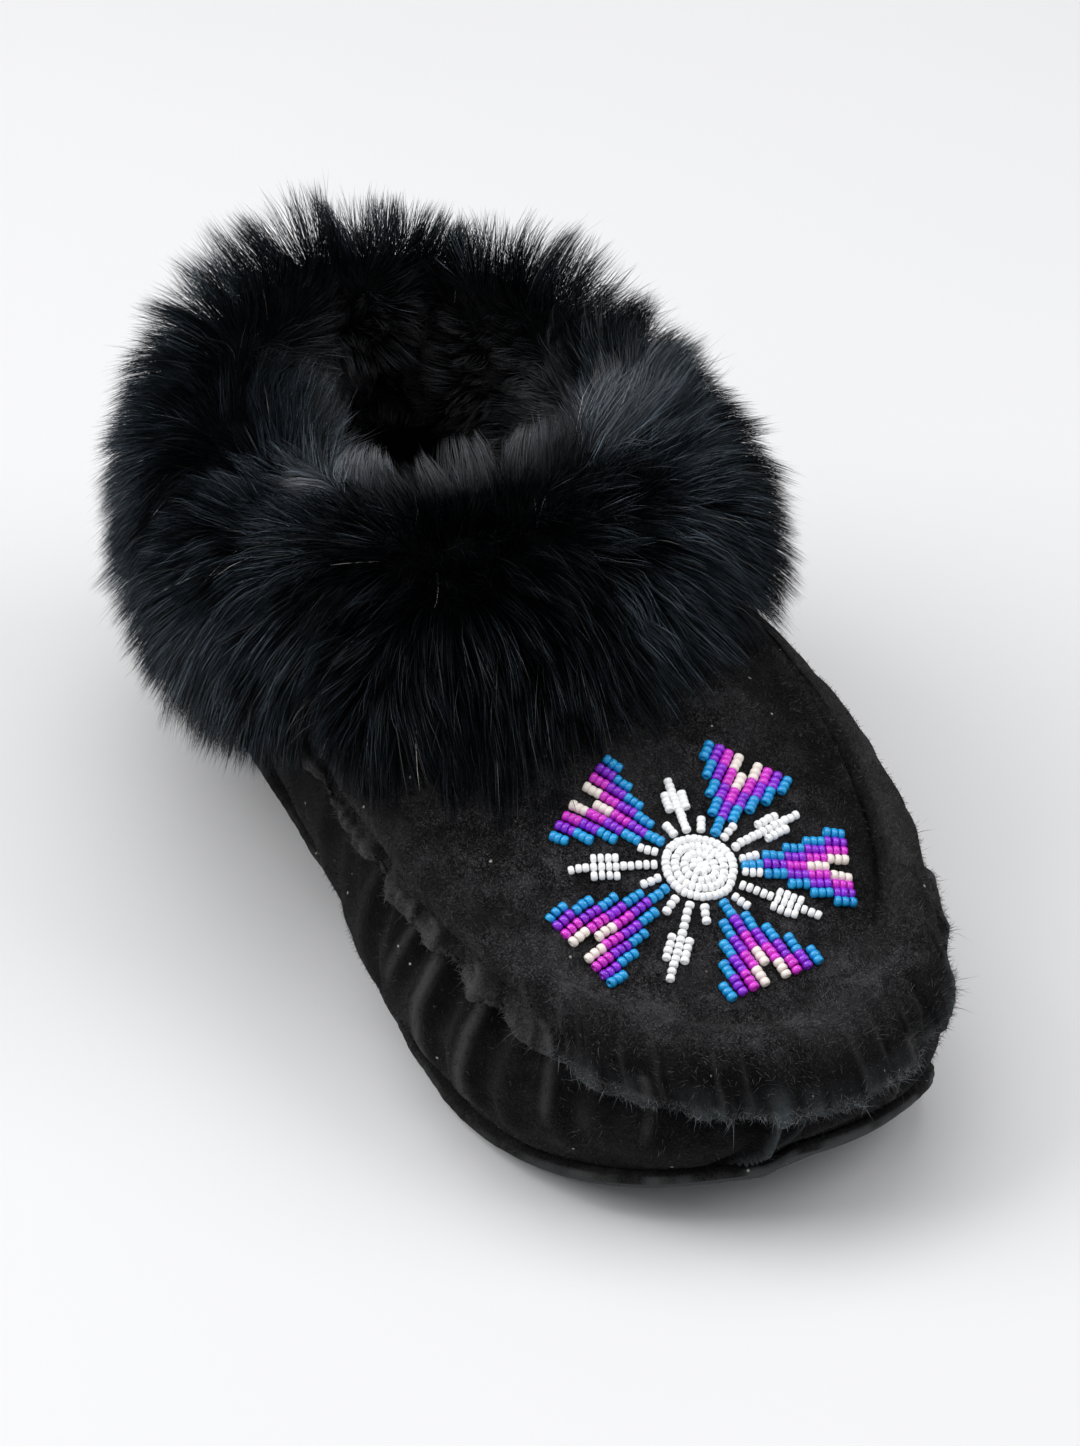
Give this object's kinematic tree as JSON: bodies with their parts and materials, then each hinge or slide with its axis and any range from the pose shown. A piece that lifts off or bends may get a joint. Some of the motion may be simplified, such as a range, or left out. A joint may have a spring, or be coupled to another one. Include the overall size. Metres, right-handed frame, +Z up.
{
  "type": "slipper moccasin",
  "caption": "Slipper moccasin for the right foot: black suede upper with a raised vamp seam, thin lipped sole, deep black fur cuff and a beaded rosette on the vamp.",
  "frame": {"origin": "middle of the box round the shoe, on the floor", "axes": "+X toward the toe, +Y toward the wearer's left, +Z up"},
  "size_m": [0.2814, 0.1478, 0.1293],
  "materials": {
    "suede": "matt napped black suede with grey lint and frayed raw edges",
    "sole_leather": "thin suede-covered sole, worn grey underneath",
    "fleece": "short black fleece",
    "fur": "deep soft black fur with a grey sheen",
    "beads_white": "crystal white glass seed beads",
    "beads_colour": "turquoise, violet, magenta and cream glass seed beads"
  },
  "bodies": {
    "root": {"upper": "suede", "sole": "sole_leather", "insole": "fleece", "fur_cuff": "fur", "bead_disc": "beads_white", "bead_petal_1": "beads_colour", "bead_petal_2": "beads_colour", "bead_petal_3": "beads_colour", "bead_petal_4": "beads_colour", "bead_petal_5": "beads_colour", "bead_ray_1": "beads_white", "bead_ray_2": "beads_white", "bead_ray_3": "beads_white", "bead_ray_4": "beads_white", "bead_ray_5": "beads_white"}
  },
  "joints": []
}
